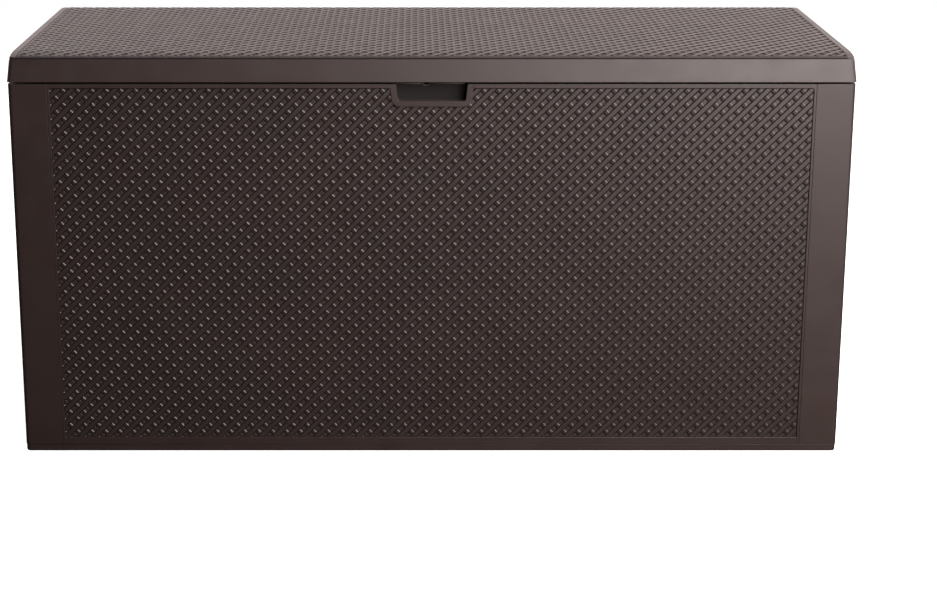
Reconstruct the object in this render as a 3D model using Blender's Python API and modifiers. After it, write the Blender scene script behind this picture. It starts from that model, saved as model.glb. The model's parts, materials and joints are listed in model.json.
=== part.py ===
"""Deck storage box of moulded resin: base, four wall panels and a hinged lid on two sliding stays.

Metres. +X is the width, the front faces -Y, +Z is up and z = 0 is the ground.
"""

from math import cos, pi, radians, sin

import bmesh
import bpy
from mathutils import Matrix, Vector

# Driving dimensions
LID_WIDTH = 1.170
DEPTH = 0.450  # lid's front edge to the back of the hinge barrels
HEIGHT = 0.580
BASE_HEIGHT = 0.0107
WALL_TOP = 0.539
LID_BOTTOM = 0.542
GAP = 0.0003  # between pieces that touch
SKIN = 0.0025  # moulded wall thickness
WALL_DEPTH = 0.022
FIELD_DEPTH = 0.003  # recess that holds the woven pattern
FIELD_MARGIN = 0.0032  # plain edge beside the field on the front and rear panels
FIELD_CORNER_R = 0.002
POST = 0.054  # width of a side panel's return on the front and the back
CORNER_R = 0.006
LIP_TOP = 0.552  # rain lip inside the lid

# Base
BASE_EDGE_R = 0.003
DECK_TOP = 0.022
FLOOR_SKIN = 0.0035
FLOOR_RIM = 0.012
FLOOR_RIB = 0.003
CENTRE_PAD = 0.060

# Lid
LID_DRAFT = 0.004  # the fascia leans in by this at its top
LID_EDGE_R = 0.002
LID_RIM = 0.010  # plain edge beside and behind the field
LID_FRONT_RIM = 0.005
LID_FIELD_DEPTH = 0.0025
LID_RIB_BOTTOM = 0.556
LID_RIB = 0.002
LID_SKIRT = 0.003
LID_LINE = 0.0014  # shadow line round the fascia, under the top edge
LID_LINE_DEPTH = 0.0012
ROLL_WIDTH = 0.035  # the top rolls down towards its long edges over this
ROLL_DROP = 0.0035

# Hinge
BARREL_R = 0.005
PIN_R = 0.0022
HINGE_CENTRES = (-0.40, 0.0, 0.40)
KNUCKLE_ROOM_R = 0.0058  # notch that the other half's knuckle turns in
BODY_KNUCKLE = 0.016  # half its length
LID_KNUCKLE = (0.0166, 0.040)  # from and to, on both sides of a hinge's centre

# Finger pocket in the front
POCKET_HALF_TOP = 0.0497
POCKET_HALF_FLOOR = 0.0470
POCKET_FLOOR = 0.515
POCKET_BORDER = 0.0075
POCKET_R = 0.004
LOCK_X = -0.007
LOCK_Z = 0.539
LOCK_R = 0.0075

# Field and grip pocket in each side
SIDE_UPRIGHT = 0.050  # plain band at each end of the side's field
GRIP_R = 0.008
GRIP_HALF = 0.055
GRIP_Z = (0.458, 0.492)
GRIP_DEPTH = 0.0175

# Lid stay: an arm as long as the distance from the hinge to its pivot on the lid, so its shoe
# runs on the straight line through the hinge axis that the rail follows.
STAY_REACH = 0.16
RAIL_SLOPE = radians(8)
RAIL_SPAN = (0.045, 0.331)  # distances from the hinge axis
RAIL_WALL = 0.0018
RAIL_END = 0.0035  # what closes the channel's ends
RAIL_EAR = 0.021  # the plate's reach below the channel's middle, for the screws
PIVOT_R = 0.003
SHOE_R = 0.005
SHOE_HALF = 0.0030
SHOE_CHAMFER = 0.0006
SHOE_BORE_R = 0.0023
STUB_R = 0.002
RAIL_SCREWS = (0.085, 0.300)
RAIL_SCREW_DROP = 0.014
FOOT_SCREW_X = 0.527
FOOT_SCREW_SPACING = 0.020
BRACKET_HALF = (0.016, 0.009)  # at its foot and at its pivot
BRACKET_FOOT_HALF = 0.018
BRACKET_R = 0.008
ARM_END_R = (0.007, 0.009)  # at the shoe and at the pivot
PIN_HEAD_R = 0.005
PIN_HEAD = 0.002

# Feet of the stay brackets and of the lock tab, screwed under the lid's ribs
FOOT = 0.003
LOCK_TAB_HALF = 0.013
LOCK_TAB_HOLE_R = 0.005

# Screws
SCREW_R = 0.0018
SCREW_HEAD_R = 0.0036
SCREW_HEAD = 0.0022
BOSS_R = 0.005
CORNER_SCREW_HEIGHTS = (0.12, 0.42)

# Worked out from the above
lid_half = LID_WIDTH / 2
lid_front = -DEPTH / 2
lid_rear = DEPTH / 2 - 0.0035
hinge_y = DEPTH / 2 - BARREL_R
hinge_z = (WALL_TOP + LID_BOTTOM) / 2
body_half = lid_half - 0.001
body_front = lid_front + 0.001
body_rear = lid_rear - 0.001
wall_bottom = BASE_HEIGHT + GAP
inner_half = body_half - WALL_DEPTH
inner_front = body_front + WALL_DEPTH
inner_rear = body_rear - WALL_DEPTH
panel_half = body_half - POST - GAP
field_z = (0.0215, WALL_TOP - 0.0056)
cell_rows = (wall_bottom + SKIN, 0.2360, 0.4515, WALL_TOP - SKIN)
border_top = POCKET_HALF_TOP + POCKET_BORDER
border_floor = POCKET_HALF_FLOOR + POCKET_BORDER
under_border = POCKET_FLOOR - POCKET_BORDER
side_centre = (body_front + body_rear) / 2
top_front = lid_front + LID_DRAFT
top_rear = lid_rear - LID_DRAFT
top_half = lid_half - LID_DRAFT
rail_back = inner_half - GAP
knuckle_root_y = hinge_y - 0.0045
lock_tab_y = (inner_front + 0.0008, inner_front + 0.0038)
lock_screw_y = lock_tab_y[0] + 0.018
foot_z = (LID_RIB_BOTTOM - GAP - FOOT, LID_RIB_BOTTOM - GAP)
pivot_y = hinge_y - STAY_REACH * cos(RAIL_SLOPE)
pivot_z = hinge_z - STAY_REACH * sin(RAIL_SLOPE)

# Layers of the stay, measured in from the rail's back towards the middle of the box
RAIL_PLATE = 0.003
RAIL_DEPTH = 0.011
ARM_LAYER = (0.0115, 0.0145)
BRACKET_LAYER = (0.0150, 0.0192)

RESIN = ((0.060, 0.042, 0.037), 0.50, 0.0)
NYLON = ((0.018, 0.016, 0.015), 0.45, 0.0)
STEEL = ((0.56, 0.55, 0.53), 0.32, 1.0)
COATED_STEEL = ((0.045, 0.038, 0.035), 0.40, 0.6)


def clear_scene():
    for found in list(bpy.data.objects):
        bpy.data.objects.remove(found, do_unlink=True)


def new_collection(name):
    made = bpy.data.collections.new(name)
    bpy.context.scene.collection.children.link(made)
    return made


def add_object(name, mesh):
    made = bpy.data.objects.new(name, mesh)
    parts.objects.link(made)
    return made


def object_from(name, bm):
    mesh = bpy.data.meshes.new(name)
    bm.to_mesh(mesh)
    bm.free()
    return add_object(name, mesh)


def add_boxes(bm, boxes):
    for box in boxes:
        centre = [(low + high) / 2 for low, high in box]
        size = [high - low for low, high in box]
        place = Matrix.Translation(centre) @ Matrix.Diagonal((*size, 1))
        bmesh.ops.create_cube(bm, size=1, matrix=place)


def blocks(name, boxes):
    """One mesh of separate boxes, each given by its x, y and z spans."""
    bm = bmesh.new()
    add_boxes(bm, boxes)
    return object_from(name, bm)


def round_upright_edges(bm, chosen):
    """Rounds the chosen ones of a block's four upright edges."""
    upright = [
        edge for edge in bm.edges
        if abs(edge.verts[0].co.z - edge.verts[1].co.z) > 0.005 and chosen(edge.verts[0].co)
    ]
    bmesh.ops.bevel(bm, geom=upright, offset=CORNER_R, segments=4, profile=0.5, affect="EDGES")


def roll(y):
    """How far the lid's top has dropped at this depth."""
    inside = min(y - top_front, top_rear - y)
    return ROLL_DROP * max(0.0, 1 - inside / ROLL_WIDTH) ** 2


def rolled_blocks(name, boxes, rolled_face, facets=4):
    """Boxes whose top or bottom follows the roll of the lid's top in a few facets."""
    bm = bmesh.new()
    add_boxes(bm, boxes)
    steps = [ROLL_WIDTH * (i + 1) / facets for i in range(facets)]
    for y in [top_front + step for step in steps] + [top_rear - step for step in steps]:
        everything = bm.verts[:] + bm.edges[:] + bm.faces[:]
        bmesh.ops.bisect_plane(bm, geom=everything, plane_co=(0, y, 0), plane_no=(0, 1, 0))
    level = boxes[0][2][1 if rolled_face == "top" else 0]
    for point in bm.verts:
        if abs(point.co.z - level) < 1e-6:
            point.co.z -= roll(point.co.y)
    return object_from(name, bm)


def rods(name, centres, axis, radius, length, segments=16):
    """One mesh of separate round bars along an axis."""
    bm = bmesh.new()
    turn = Vector((0, 0, 1)).rotation_difference(Vector(axis)).to_matrix().to_4x4()
    for centre in centres:
        bmesh.ops.create_cone(
            bm, cap_ends=True, segments=segments, radius1=radius, radius2=radius,
            depth=length, matrix=Matrix.Translation(centre) @ turn,
        )
    return object_from(name, bm)


def turned(name, profile, steps=12):
    """A turned piece about its own Z: the profile's (radius, height) points run from top to bottom."""
    mesh = bpy.data.meshes.new(name)
    points = [(radius, 0, height) for radius, height in profile]
    mesh.from_pydata(points, [(i, i + 1) for i in range(len(points) - 1)], [])
    made = add_object(name, mesh)
    screw = made.modifiers.new("turn", "SCREW")
    screw.steps = screw.render_steps = steps
    screw.use_merge_vertices = True
    screw.merge_threshold = 0.00001
    return made


def rounded(corners, steps=4):
    """An outline whose corners, given as (x, y, radius), are arcs."""
    outline = []
    for i, (x, y, radius) in enumerate(corners):
        here = Vector((x, y))
        if radius == 0:
            outline.append(here)
            continue
        back = (Vector(corners[i - 1][:2]) - here).normalized()
        ahead = (Vector(corners[(i + 1) % len(corners)][:2]) - here).normalized()
        half = back.angle(ahead) / 2
        centre = here + (back + ahead).normalized() * radius / sin(half)
        start = here + back * radius * cos(half) / sin(half) - centre
        end = here + ahead * radius * cos(half) / sin(half) - centre
        sweep = start.angle_signed(end)
        for step in range(steps + 1):
            outline.append(centre + Matrix.Rotation(-sweep * step / steps, 2) @ start)
    return outline


XY_PLATE = Matrix.Identity(4)
XZ_PLATE = Matrix(((1, 0, 0, 0), (0, 0, -1, 0), (0, 1, 0, 0), (0, 0, 0, 1)))
YZ_PLATE = Matrix(((0, 0, 1, 0), (1, 0, 0, 0), (0, 1, 0, 0), (0, 0, 0, 1)))


def plate(name, outlines, facing, span):
    """A flat piece cut to an outline, with further outlines as holes, filling a span across itself."""
    curve = bpy.data.curves.new(name, "CURVE")
    curve.dimensions = "2D"
    curve.fill_mode = "BOTH"
    curve.extrude = abs(span[1] - span[0]) / 2
    for outline in outlines:
        spline = curve.splines.new("POLY")
        spline.points.add(len(outline) - 1)
        for point, (x, y) in zip(spline.points, outline):
            point.co = (x, y, 0, 1)
        spline.use_cyclic_u = True
    drawn = bpy.data.objects.new(name + "_outline", curve)
    parts.objects.link(drawn)
    bpy.context.view_layer.update()
    mesh = bpy.data.meshes.new_from_object(drawn.evaluated_get(bpy.context.evaluated_depsgraph_get()))
    bpy.data.objects.remove(drawn, do_unlink=True)
    bm = bmesh.new()
    bm.from_mesh(mesh)
    bpy.data.meshes.remove(mesh)
    bmesh.ops.remove_doubles(bm, verts=bm.verts[:], dist=0.000001)
    thickness_axis = facing.col[2].to_3d()
    across = Vector(map(abs, thickness_axis)) * (span[0] + span[1]) / 2
    bmesh.ops.transform(bm, matrix=Matrix.Translation(across) @ facing, verts=bm.verts[:])
    bmesh.ops.recalc_face_normals(bm, faces=bm.faces[:])
    return object_from(name, bm)


def shape(target, tool, operation):
    """Cuts the tool from the target or joins it on, and sets the tool aside."""
    change = target.modifiers.new(tool.name, "BOOLEAN")
    change.operation = operation
    change.object = tool
    parts.objects.unlink(tool)
    cutters.objects.link(tool)
    tool.hide_render = True
    tool.display_type = "WIRE"


def cut(target, tool):
    shape(target, tool, "DIFFERENCE")


def join(target, tool):
    shape(target, tool, "UNION")


def finish_piece(piece, finish, empty=None):
    """Gives a piece its own material and hangs it on its joint's empty."""
    colour, roughness, metallic = finish
    material = bpy.data.materials.new(piece.name)
    material.use_nodes = True
    shader = material.node_tree.nodes["Principled BSDF"]
    shader.inputs["Base Color"].default_value = (*colour, 1)
    shader.inputs["Roughness"].default_value = roughness
    shader.inputs["Metallic"].default_value = metallic
    piece.data.materials.append(material)
    if empty:
        tools = [change.object for change in piece.modifiers if change.type == "BOOLEAN"]
        for follower in [piece] + tools:
            follower.parent = empty
            follower.matrix_parent_inverse = empty.matrix_world.inverted()
    return piece


def axis_empty(name, place, parent=None):
    empty = add_object(name, None)
    empty.location = place
    bpy.context.view_layer.update()
    if parent:
        empty.parent = parent
        empty.matrix_parent_inverse = parent.matrix_world.inverted()
        bpy.context.view_layer.update()
    return empty


def spans(low, high, count, web=SKIN):
    """Equal spans with a web of material between neighbours."""
    width = (high - low - web * (count - 1)) / count
    starts = [low + i * (width + web) for i in range(count)]
    return [(start, start + width) for start in starts]


def rows(low, high):
    """The two spans of a pair of cells stacked in height, split at the middle rib."""
    return [(low, cell_rows[1]), (cell_rows[1] + SKIN, high)]


def rail_point(along, down=0.0):
    """A point in the rail's plane: a distance from the hinge axis, and one below the rail's line."""
    y = hinge_y - along * cos(RAIL_SLOPE) + down * sin(RAIL_SLOPE)
    z = hinge_z - along * sin(RAIL_SLOPE) - down * cos(RAIL_SLOPE)
    return y, z


def base():
    """The floor: a shallow tray with cells below, a raised deck inside the walls, a pad at the middle."""
    bm = bmesh.new()
    inset = 0.0005
    outside = (
        (inset - body_half, body_half - inset),
        (body_front + inset, body_rear - inset),
        (0, BASE_HEIGHT),
    )
    add_boxes(bm, [outside])
    round_upright_edges(bm, lambda corner: True)
    under = [edge for edge in bm.edges if max(v.co.z for v in edge.verts) < 0.0001]
    bmesh.ops.bevel(bm, geom=under, offset=BASE_EDGE_R, segments=2, profile=0.5, affect="EDGES")
    tray = object_from("floor_panel", bm)
    deck = (
        (-inner_half + GAP, inner_half - GAP),
        (inner_front + GAP, inner_rear - GAP),
        (BASE_HEIGHT / 2, DECK_TOP),
    )
    join(tray, blocks("deck", [deck]))
    cells = [
        (x, y, (-0.001, DECK_TOP - FLOOR_SKIN))
        for x in spans(-inner_half + FLOOR_RIM, inner_half - FLOOR_RIM, 11, FLOOR_RIB)
        for y in spans(inner_front + FLOOR_RIM, inner_rear - FLOOR_RIM, 4, FLOOR_RIB)
    ]
    cut(tray, blocks("floor_cells", cells))
    pad = (-CENTRE_PAD / 2, CENTRE_PAD / 2)
    join(tray, blocks("centre_pad", [(pad, pad, (0, DECK_TOP - FLOOR_SKIN / 2))]))
    finish_piece(tray, RESIN)


def long_wall(name, outer, inner, field, column_tops):
    """A front or rear panel: a framed field outside, ribbed cells inside, a rain lip on top."""
    inwards = 1 if inner > outer else -1
    beyond = outer - inwards * 0.01

    def through(near, far):
        return tuple(sorted((near, far)))

    along = (-panel_half, panel_half)
    wall = blocks(name, [(along, through(outer, inner), (wall_bottom, LIP_TOP))])
    rebate = ((-1, 1), through(beyond, inner - inwards * SKIN), (WALL_TOP, 1))
    cut(wall, blocks(name + "_rebate", [rebate]))
    recess = through(beyond, outer + inwards * FIELD_DEPTH)
    cut(wall, plate(name + "_field", [field], XZ_PLATE, recess))
    depth = through(outer + inwards * (FIELD_DEPTH + SKIN), inner + inwards * 0.001)
    columns = spans(-panel_half + SKIN, panel_half - SKIN, len(column_tops))
    cells = [
        (column, depth, row)
        for column, top in zip(columns, column_tops)
        for row in rows(cell_rows[0], top)
    ]
    cut(wall, blocks(name + "_cells", cells))
    screws = [
        (x, (outer + inner) / 2, z)
        for x in (-panel_half, panel_half)
        for z in CORNER_SCREW_HEIGHTS
    ]
    cut(wall, rods(name + "_screw_holes", screws, (1, 0, 0), SCREW_R + GAP, 0.02, 12))
    return wall


def front_panel():
    """The front, with room at its top for the pocket insert."""
    edge = panel_half - FIELD_MARGIN
    field = rounded((
        (-edge, field_z[0], FIELD_CORNER_R),
        (edge, field_z[0], FIELD_CORNER_R),
        (edge, field_z[1], FIELD_CORNER_R),
        (border_top, field_z[1], FIELD_CORNER_R),
        (border_floor, under_border, POCKET_R + POCKET_BORDER),
        (-border_floor, under_border, POCKET_R + POCKET_BORDER),
        (-border_top, field_z[1], FIELD_CORNER_R),
        (-edge, field_z[1], FIELD_CORNER_R),
    ))
    tops = [cell_rows[3]] * 4 + [under_border - SKIN] * 2 + [cell_rows[3]] * 4
    wall = long_wall("front_panel", body_front, inner_front, field, tops)
    room = insert_outline(GAP, LIP_TOP + 0.001)
    cut(wall, plate("insert_room", [room], XZ_PLATE, (body_front - 0.01, inner_front + 0.01)))
    finish_piece(wall, RESIN)


def insert_outline(grow, top):
    """The pocket insert seen from the front, grown on all sides but its top."""
    lean = (border_top - border_floor) / (field_z[1] - under_border)
    half_top = border_floor + lean * (top - under_border) + grow
    half_floor = border_floor + grow
    corner = POCKET_R + POCKET_BORDER + grow
    return rounded((
        (-half_top, top, 0),
        (-half_floor, under_border - grow, corner),
        (half_floor, under_border - grow, corner),
        (half_top, top, 0),
    ))


def pocket_insert():
    """The finger pocket as deep as the wall, with a padlock hole through its back."""
    insert = plate("pocket_insert", [insert_outline(0, LIP_TOP)], XZ_PLATE, (body_front, inner_front))
    rebate = ((-1, 1), (body_front - 0.01, inner_front - SKIN), (WALL_TOP, 1))
    cut(insert, blocks("insert_rebate", [rebate]))
    pocket = rounded((
        (-POCKET_HALF_TOP, WALL_TOP + 0.001, 0),
        (-POCKET_HALF_FLOOR, POCKET_FLOOR, POCKET_R),
        (POCKET_HALF_FLOOR, POCKET_FLOOR, POCKET_R),
        (POCKET_HALF_TOP, WALL_TOP + 0.001, 0),
    ))
    cut(insert, plate("finger_pocket", [pocket], XZ_PLATE, (body_front - 0.01, inner_front - SKIN)))
    cut(insert, rods("lock_hole", [(LOCK_X, inner_front, LOCK_Z)], (0, 1, 0), LOCK_R, 0.02, 20))
    finish_piece(insert, RESIN)


def rear_panel():
    """The rear, with the hinges' middle knuckles and room for the lid's."""
    edge = panel_half - FIELD_MARGIN
    field = rounded((
        (-edge, field_z[0], FIELD_CORNER_R),
        (edge, field_z[0], FIELD_CORNER_R),
        (edge, field_z[1], FIELD_CORNER_R),
        (-edge, field_z[1], FIELD_CORNER_R),
    ))
    wall = long_wall("rear_panel", body_rear, inner_rear, field, [cell_rows[3]] * 10)
    roots = [
        ((x - BODY_KNUCKLE, x + BODY_KNUCKLE), (knuckle_root_y, body_rear), (field_z[1], hinge_z))
        for x in HINGE_CENTRES
    ]
    join(wall, blocks("body_knuckle_roots", roots))
    centres = [(x, hinge_y, hinge_z) for x in HINGE_CENTRES]
    join(wall, rods("body_knuckles", centres, (1, 0, 0), BARREL_R, 2 * BODY_KNUCKLE))
    cut(wall, rods("body_pin_holes", centres, (1, 0, 0), PIN_R + GAP, 0.05))
    room_start, room_end = BODY_KNUCKLE + GAP, LID_KNUCKLE[1] + 2 * GAP
    middle = (room_start + room_end) / 2
    notches = [(x + side * middle, hinge_y, hinge_z) for x in HINGE_CENTRES for side in (-1, 1)]
    cut(wall, rods("lid_knuckle_room", notches, (1, 0, 0), KNUCKLE_ROOM_R, room_end - room_start))
    finish_piece(wall, RESIN)


def side_panel(name, side):
    """A side wall whose returns make the corner posts. side is 1 on the right and -1 on the left."""

    def across(near, far):
        return tuple(sorted((side * near, side * far)))

    bm = bmesh.new()
    add_boxes(bm, [(across(body_half - POST, body_half), (body_front, body_rear), (wall_bottom, LIP_TOP))])
    round_upright_edges(bm, lambda corner: side * corner.x > body_half - 0.001)
    wall = object_from(name, bm)
    inside = (across(0, inner_half), (inner_front, inner_rear), (-1, 1))
    cut(wall, blocks(name + "_inside", [inside]))
    outside = (across(inner_half + SKIN, 1), (-1, 1), (WALL_TOP, 1))
    cut(wall, blocks(name + "_rebate", [outside]))
    post_tops = [
        (across(0, inner_half + 0.01), (-1, inner_front - SKIN), (WALL_TOP, 1)),
        (across(0, inner_half + 0.01), (inner_rear + SKIN, 1), (WALL_TOP, 1)),
    ]
    cut(wall, blocks(name + "_post_tops", post_tops))

    # Field between plain uprights, with a plain border left round the grip pocket
    def frame_outline(y, z, radius):
        corners = ((y[0], z[0]), (y[1], z[0]), (y[1], z[1]), (y[0], z[1]))
        return rounded([(*corner, radius) for corner in corners])

    field = frame_outline((body_front + SIDE_UPRIGHT, body_rear - SIDE_UPRIGHT), field_z, FIELD_CORNER_R)
    grip_y = (side_centre - GRIP_HALF, side_centre + GRIP_HALF)
    grip = frame_outline(grip_y, GRIP_Z, GRIP_R)
    border_y = (grip_y[0] - POCKET_BORDER, grip_y[1] + POCKET_BORDER)
    border_z = (GRIP_Z[0] - POCKET_BORDER, GRIP_Z[1] + POCKET_BORDER)
    border = frame_outline(border_y, border_z, GRIP_R + POCKET_BORDER)
    recess = across(body_half - FIELD_DEPTH, body_half + 0.01)
    cut(wall, plate(name + "_field", [field, border], YZ_PLATE, recess))

    # Cells behind the side's skin and behind each post, and a hollow down each corner
    wall_depth = across(inner_half - 0.001, body_half - FIELD_DEPTH - SKIN)
    low, high = inner_front + SKIN, inner_rear - SKIN
    upper = (cell_rows[2] + SKIN, cell_rows[3])
    cells = [(wall_depth, y, z) for y in spans(low, high, 4) for z in rows(cell_rows[0], cell_rows[2])]
    cells += [(wall_depth, y, upper) for y in spans(low, border_y[0], 2) + spans(border_y[1], high, 2)]
    post_x = across(body_half - POST + SKIN, inner_half - SKIN)
    for y in ((body_front + SKIN, inner_front + 0.001), (inner_rear - 0.001, body_rear - SKIN)):
        cells += [(post_x, y, z) for z in rows(cell_rows[0], cell_rows[3])]
    cut(wall, blocks(name + "_cells", cells))
    corner_x = across(inner_half + SKIN, body_half - SKIN)
    hollows = [
        (corner_x, (body_front + SKIN, inner_front - SKIN), (-1, cell_rows[3])),
        (corner_x, (inner_rear + SKIN, body_rear - SKIN), (-1, cell_rows[3])),
    ]
    cut(wall, blocks(name + "_corner_hollows", hollows))
    depth = across(body_half - GRIP_DEPTH, body_half + 0.01)
    cut(wall, plate(name + "_grip", [grip], YZ_PLATE, depth))

    # Bosses that take the rail's screws, with blind holes
    screws = [rail_point(along, RAIL_SCREW_DROP) for along in RAIL_SCREWS]
    boss_length = WALL_DEPTH - FIELD_DEPTH - SKIN / 2
    bosses = [(side * (inner_half + boss_length / 2), y, z) for y, z in screws]
    join(wall, rods(name + "_bosses", bosses, (1, 0, 0), BOSS_R, boss_length, 12))
    boss_holes = [(side * inner_half, y, z) for y, z in screws]
    cut(wall, rods(name + "_boss_holes", boss_holes, (1, 0, 0), SCREW_R + GAP, 0.028, 12))
    holes = [
        (side * (body_half - POST), y, z)
        for y in ((body_front + inner_front) / 2, (body_rear + inner_rear) / 2)
        for z in CORNER_SCREW_HEIGHTS
    ]
    cut(wall, rods(name + "_screw_holes", holes, (1, 0, 0), SCREW_R + GAP, 0.02, 12))
    finish_piece(wall, RESIN)


def lid_shell(hinge):
    """The lid: drafted fascia, rolled top with a recessed field, ribs below, hinge knuckles behind."""
    outside = ((-lid_half, lid_half), (lid_front, lid_rear), (LID_BOTTOM, HEIGHT))
    lid = rolled_blocks("lid_shell", [outside], "top")
    bm = bmesh.new()
    bm.from_mesh(lid.data)
    middle = (lid_front + lid_rear) / 2
    for point in bm.verts:
        if point.co.z > LID_BOTTOM + 0.001:
            point.co.x *= top_half / lid_half
            point.co.y = middle + (point.co.y - middle) * (top_rear - top_front) / (lid_rear - lid_front)
    round_upright_edges(bm, lambda corner: not top_front + 0.001 < corner.y < top_rear - 0.001)
    rim = [
        edge for edge in bm.edges
        if min(v.co.z for v in edge.verts) > LID_RIB_BOTTOM and edge.calc_face_angle() > radians(40)
    ]
    bmesh.ops.bevel(bm, geom=rim, offset=LID_EDGE_R, segments=2, profile=0.5, affect="EDGES")
    bm.to_mesh(lid.data)
    bm.free()

    field = (
        (-top_half + LID_RIM, top_half - LID_RIM),
        (top_front + LID_FRONT_RIM, top_rear - LID_RIM),
        (HEIGHT - LID_FIELD_DEPTH, HEIGHT + 0.01),
    )
    cut(lid, rolled_blocks("lid_field", [field], "bottom"))

    # Shadow line, which follows the rounded corners
    edge_height = HEIGHT - ROLL_DROP - LID_BOTTOM
    line_top = HEIGHT - ROLL_DROP - LID_EDGE_R - 0.0001

    def lid_outline(inset, radius):
        half, front, rear = lid_half - inset, lid_front + inset, lid_rear - inset
        corners = ((-half, front), (half, front), (half, rear), (-half, rear))
        return rounded([(*corner, radius) for corner in corners])

    depth = LID_DRAFT * (line_top - LID_LINE - LID_BOTTOM) / edge_height + LID_LINE_DEPTH
    outlines = [lid_outline(-0.01, 0), lid_outline(depth, CORNER_R - LID_LINE_DEPTH)]
    cut(lid, plate("lid_line", outlines, XY_PLATE, (line_top - LID_LINE, line_top)))

    # Room for the walls' lip below the ribs, following the fascia's lean
    hollow = blocks("lid_hollow", [(
        (-lid_half + LID_SKIRT, lid_half - LID_SKIRT),
        (lid_front + LID_SKIRT, lid_rear - LID_SKIRT),
        (LID_BOTTOM - 0.001, LID_RIB_BOTTOM),
    )])
    lean = LID_DRAFT * (LID_RIB_BOTTOM - LID_BOTTOM) / edge_height
    for point in hollow.data.vertices:
        if point.co.z > LID_BOTTOM:
            point.co.x -= lean if point.co.x > 0 else -lean
            point.co.y -= lean if point.co.y > 0 else -lean
    cut(lid, hollow)
    cell_top = HEIGHT - LID_FIELD_DEPTH - SKIN
    wall = LID_SKIRT + LID_DRAFT
    cells = [
        (x, y, (LID_RIB_BOTTOM - 0.001, cell_top))
        for x in spans(-lid_half + wall, lid_half - wall, 11, LID_RIB)
        for y in spans(lid_front + wall, lid_rear - wall, 4, LID_RIB)
    ]
    cut(lid, rolled_blocks("lid_cells", cells, "top", 2))

    # Bosses for the stay brackets and the lock tab
    boss_length = cell_top + 0.001 - LID_RIB_BOTTOM
    boss_z = LID_RIB_BOTTOM + boss_length / 2
    bosses = [
        (side * FOOT_SCREW_X, pivot_y + offset * FOOT_SCREW_SPACING / 2, boss_z)
        for side in (-1, 1)
        for offset in (-1, 1)
    ]
    bosses.append((LOCK_X, lock_screw_y, boss_z))
    join(lid, rods("lid_bosses", bosses, (0, 0, 1), BOSS_R, boss_length, 12))
    holes = [(x, y, LID_RIB_BOTTOM) for x, y, _ in bosses]
    cut(lid, rods("lid_boss_holes", holes, (0, 0, 1), SCREW_R + GAP, 0.026, 12))

    # Knuckles either side of each of the rear panel's
    length = LID_KNUCKLE[1] - LID_KNUCKLE[0]
    middle = sum(LID_KNUCKLE) / 2
    knuckles = [(x + side * middle, hinge_y, hinge_z) for x in HINGE_CENTRES for side in (-1, 1)]
    roots = [
        ((x - length / 2, x + length / 2), (knuckle_root_y, hinge_y), (hinge_z, LIP_TOP + 0.002))
        for x, _, _ in knuckles
    ]
    join(lid, blocks("lid_knuckle_roots", roots))
    join(lid, rods("lid_knuckles", knuckles, (1, 0, 0), BARREL_R, length))
    cut(lid, rods("lid_pin_holes", knuckles, (1, 0, 0), PIN_R + GAP, 0.03))
    room = [(x, hinge_y, hinge_z) for x in HINGE_CENTRES]
    cut(lid, rods("body_knuckle_room", room, (1, 0, 0), KNUCKLE_ROOM_R, 2 * (BODY_KNUCKLE + GAP)))
    finish_piece(lid, RESIN, hinge)


def lock_tab(hinge):
    """Plate behind the finger pocket whose hole lines up with the wall's for a padlock."""
    left, right = LOCK_X - LOCK_TAB_HALF, LOCK_X + LOCK_TAB_HALF
    tab_bottom = LOCK_Z - LOCK_TAB_HOLE_R - 0.006
    outline = rounded((
        (left, foot_z[1], 0),
        (left, tab_bottom, 0.008),
        (right, tab_bottom, 0.008),
        (right, foot_z[1], 0),
    ))
    tab = plate("lock_tab", [outline], XZ_PLATE, lock_tab_y)
    foot = ((left, right), (lock_tab_y[0], lock_tab_y[0] + 0.028), foot_z)
    join(tab, blocks("lock_foot", [foot]))
    cut(tab, rods("lock_tab_hole", [(LOCK_X, lock_tab_y[0], LOCK_Z)], (0, 1, 0), LOCK_TAB_HOLE_R, 0.02))
    screw_hole = (LOCK_X, lock_screw_y, foot_z[0])
    cut(tab, rods("lock_foot_hole", [screw_hole], (0, 0, 1), SCREW_R + GAP, 0.02, 12))
    finish_piece(tab, RESIN, hinge)


def hinge_pins():
    half = LID_KNUCKLE[1] - 0.0005
    for x, side in zip(HINGE_CENTRES, ("left", "middle", "right")):
        pin = turned(f"hinge_pin_{side}", (
            (0, half), (PIN_R - 0.0005, half), (PIN_R, half - 0.0005),
            (PIN_R, 0.0005 - half), (PIN_R - 0.0005, -half), (0, -half),
        ))
        pin.location = (x, hinge_y, hinge_z)
        pin.rotation_euler = (0, pi / 2, 0)
        finish_piece(pin, STEEL)


def screw(name, place, points_along, length, empty=None):
    """A pan-head screw whose head sits on a face at place, with its shank along points_along."""
    made = turned(name, (
        (0, SCREW_HEAD), (SCREW_HEAD_R * 0.6, SCREW_HEAD), (SCREW_HEAD_R, SCREW_HEAD * 0.45),
        (SCREW_HEAD_R, GAP), (SCREW_R, GAP), (SCREW_R, 0.001 - length), (0, -length),
    ))
    made.location = place
    made.rotation_euler = Vector((0, 0, -1)).rotation_difference(Vector(points_along)).to_euler()
    bpy.context.view_layer.update()
    return finish_piece(made, STEEL, empty)


def corner_screws():
    for side, hand in ((-1, "left"), (1, "right")):
        for wall, y in (("front", (body_front + inner_front) / 2), ("rear", (body_rear + inner_rear) / 2)):
            for level, z in zip(("low", "high"), CORNER_SCREW_HEIGHTS):
                place = (side * (panel_half - SKIN), y, z)
                screw(f"corner_screw_{wall}_{hand}_{level}", place, (side, 0, 0), 0.0095)


def stay_layer(side, near, far):
    """The x span between two depths measured in from the rail's back."""
    return tuple(sorted((side * (rail_back - near), side * (rail_back - far))))


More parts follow.
